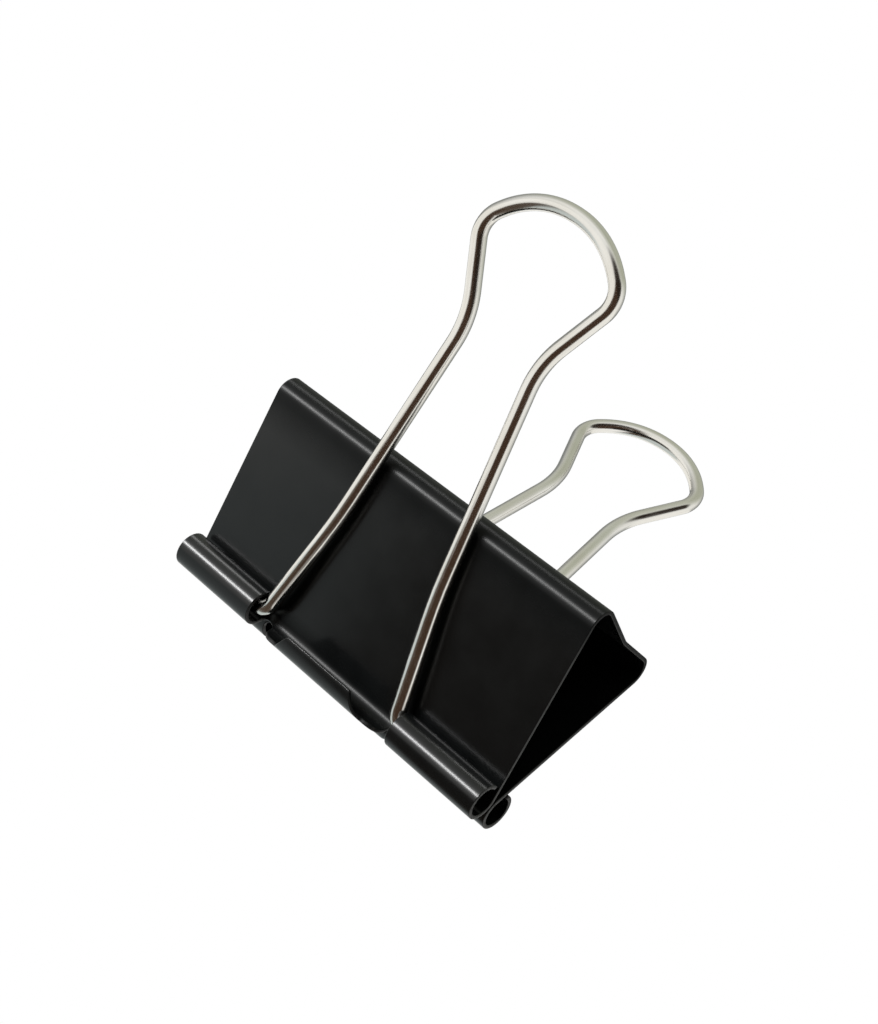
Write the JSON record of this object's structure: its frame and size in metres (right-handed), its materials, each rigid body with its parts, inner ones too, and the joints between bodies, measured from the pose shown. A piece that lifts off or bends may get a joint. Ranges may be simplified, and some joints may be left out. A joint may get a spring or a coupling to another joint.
{
  "type": "binder clip",
  "caption": "Spring-steel paper clamp with a triangular body, rolled jaw edges and folding wire handles",
  "frame": {"origin": "on the surface the clip stands on, under the middle of its bounding box; the jaws' mid-plane is 2.30 mm towards -Y of it, because the rear handle leans further out than the front one", "axes": "+X along the jaws, +Y from the front jaw to the rear jaw, +Z from the rolled jaw edges up to the spine and the handles' loops"},
  "size_m": [0.051, 0.0566, 0.057],
  "materials": {
    "black_paint": "smooth semi-gloss black paint",
    "nickel_plate": "bright nickel plate on drawn wire"
  },
  "bodies": {
    "front_jaw": {"front_jaw": "black_paint"},
    "rear_jaw": {"rear_jaw": "black_paint"},
    "front_handle": {"front_handle": "nickel_plate"},
    "rear_handle": {"rear_handle": "nickel_plate"}
  },
  "joints": [
    {"name": "jaw_opening", "type": "hinge", "parent": "front_jaw", "child": "rear_jaw", "pos_m": [0, -0.0023, 0.02548], "axis": [1, 0, 0], "range_deg": [0, 40], "stiffness_Nm_per_rad": 0.9, "springref_deg": -8.59},
    {"name": "front_handle_fold", "type": "hinge", "parent": "front_jaw", "child": "front_handle", "pos_m": [0, -0.00471, 0.00226], "axis": [1, 0, 0], "range_deg": [0, 158]},
    {"name": "rear_handle_fold", "type": "hinge", "parent": "rear_jaw", "child": "rear_handle", "pos_m": [0, 0.00011, 0.00226], "axis": [-1, 0, 0], "range_deg": [-5, 153]}
  ]
}
